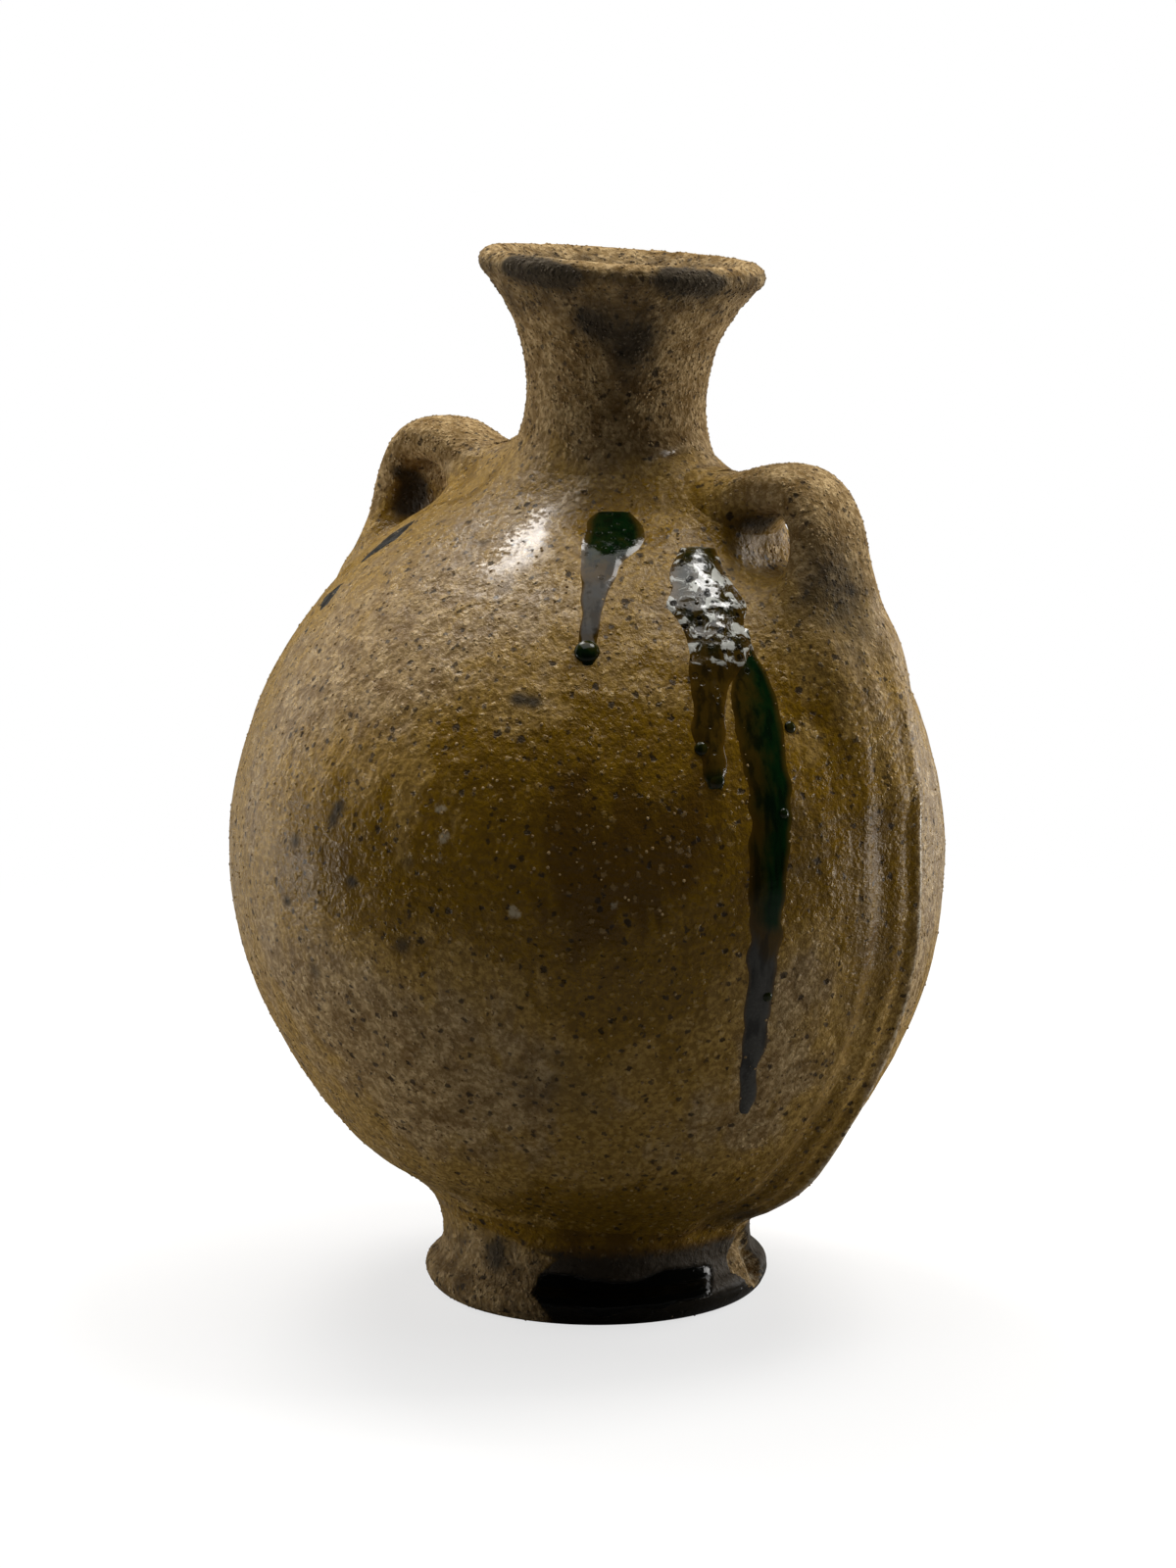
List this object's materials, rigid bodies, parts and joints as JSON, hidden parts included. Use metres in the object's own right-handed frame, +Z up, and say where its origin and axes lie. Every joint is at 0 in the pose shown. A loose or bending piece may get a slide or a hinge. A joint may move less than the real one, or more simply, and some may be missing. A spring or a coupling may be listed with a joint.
{
  "type": "pottery jug",
  "caption": "Round earthenware flask jug on a foot ring, with a flared neck and loop handles on its shoulders, for storing and pouring liquid.",
  "frame": {"origin": "centre of the foot ring on the ground it stands on", "axes": "+Z up out of the mouth, -Y out of the front bowl, +X towards the right handle"},
  "size_m": [0.2108, 0.194, 0.2827],
  "materials": {
    "body_glaze": "thin amber glaze over gritty buff clay",
    "neck_clay": "matte gritty buff clay",
    "foot_clay": "matte buff clay with a patch of dark glaze",
    "handle_clay": "matte gritty buff clay"
  },
  "bodies": {
    "root": {"front_bowl": "body_glaze", "rear_bowl": "body_glaze", "neck": "neck_clay", "foot_ring": "foot_clay", "left_handle": "handle_clay", "right_handle": "handle_clay"}
  },
  "joints": []
}
